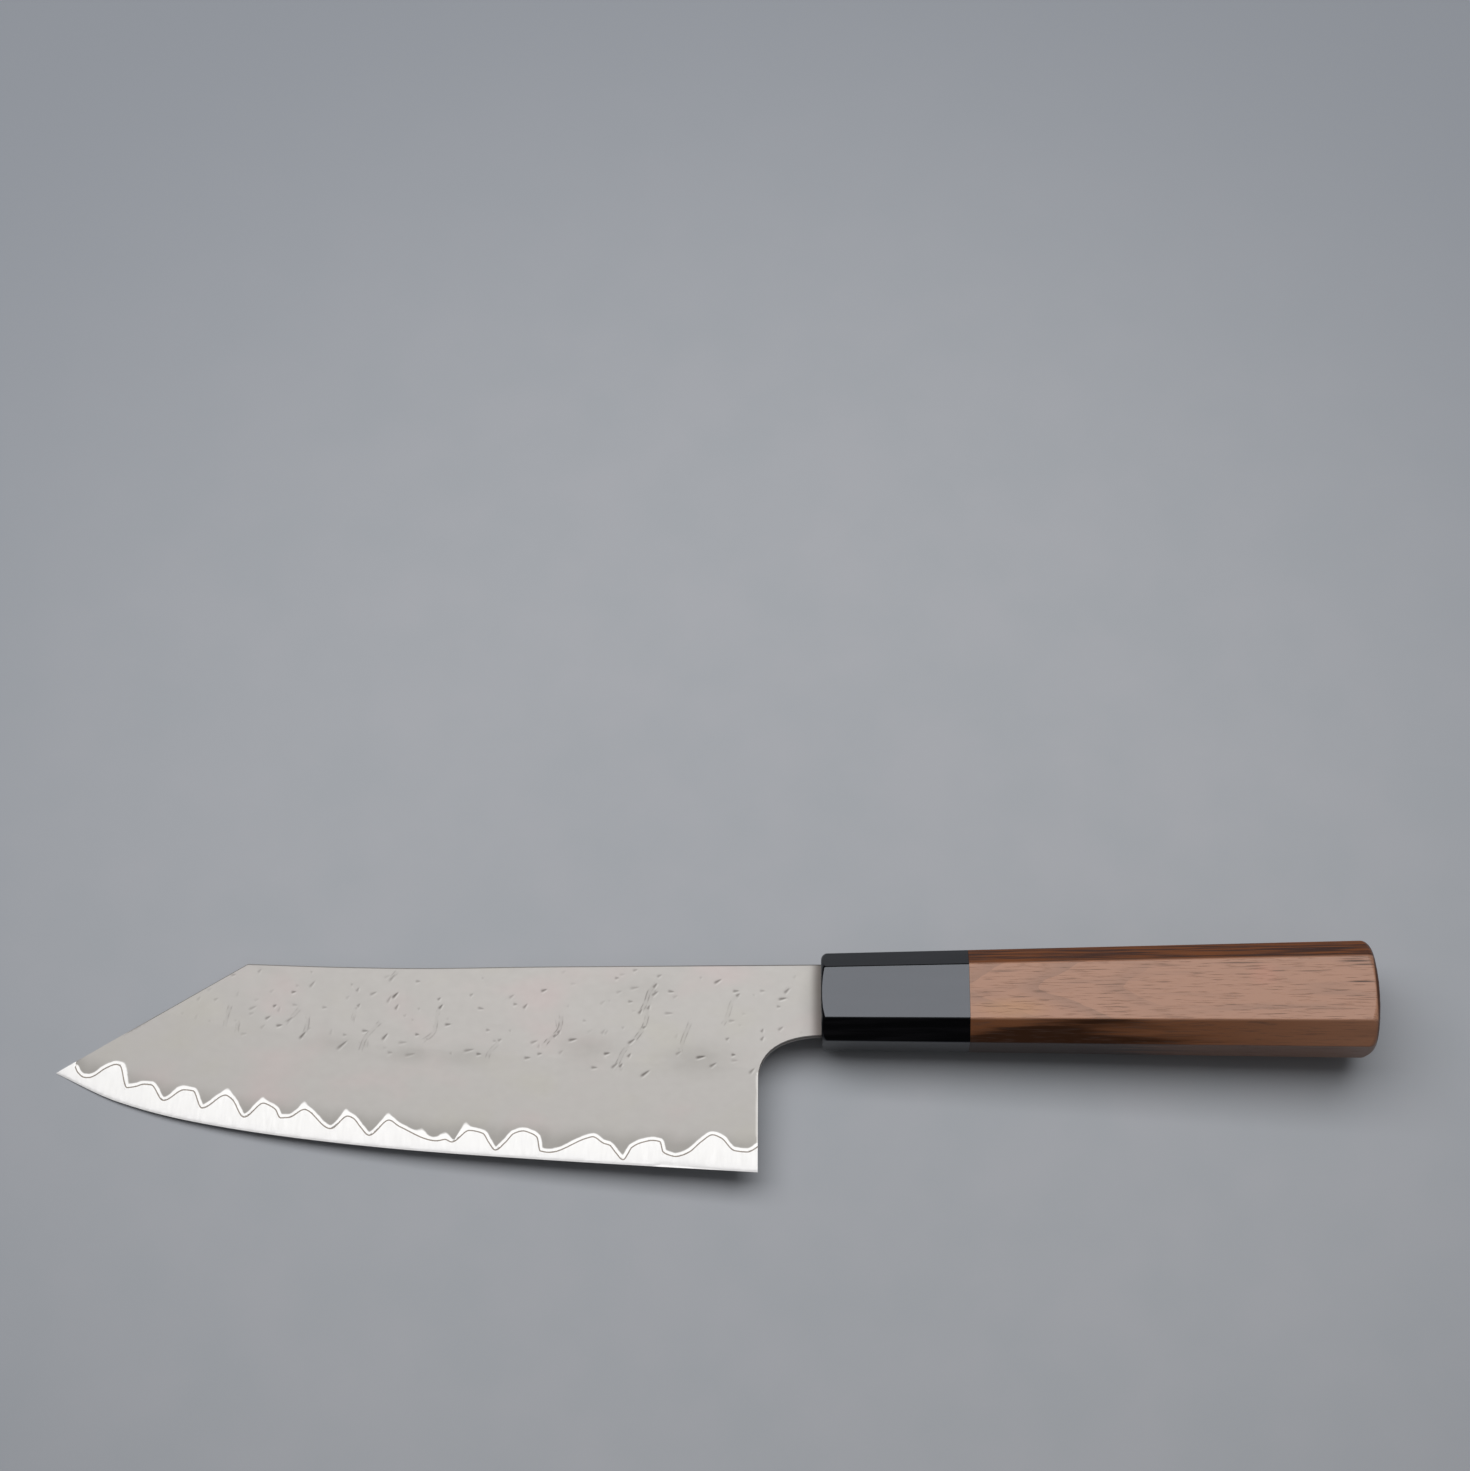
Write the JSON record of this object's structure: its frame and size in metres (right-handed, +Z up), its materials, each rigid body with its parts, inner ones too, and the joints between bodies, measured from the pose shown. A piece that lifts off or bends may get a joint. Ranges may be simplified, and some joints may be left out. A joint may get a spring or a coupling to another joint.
{
  "type": "kitchen knife",
  "caption": "Bunka kitchen knife with a clipped point, a three-layer forge-welded blade with a wavy weld line, and an octagonal walnut handle with a black ferrule.",
  "frame": {"origin": "under the middle of the knife's bounding box, on the surface that it lies on", "axes": "+X from the tip towards the butt, +Y from the cutting edge towards the spine, +Z up. The knife lies on its right side, tilted 2.82 degrees about Y, so that the tip and the ferrule's front touch the surface"},
  "size_m": [0.323, 0.0552, 0.0268],
  "materials": {
    "core_steel": "polished bright",
    "cladding_steel": "hammered above, matte ground bevel below",
    "black_horn": "polished black",
    "walnut": "sanded and oiled to a low sheen",
    "dowel_wood": "plain turned wood",
    "seal_resin": "dark resin"
  },
  "bodies": {
    "root": {"core_steel": "core_steel", "left_cladding": "cladding_steel", "right_cladding": "cladding_steel", "ferrule": "black_horn", "handle_body": "walnut", "dowel": "dowel_wood", "tang_seal": "seal_resin"}
  },
  "joints": []
}
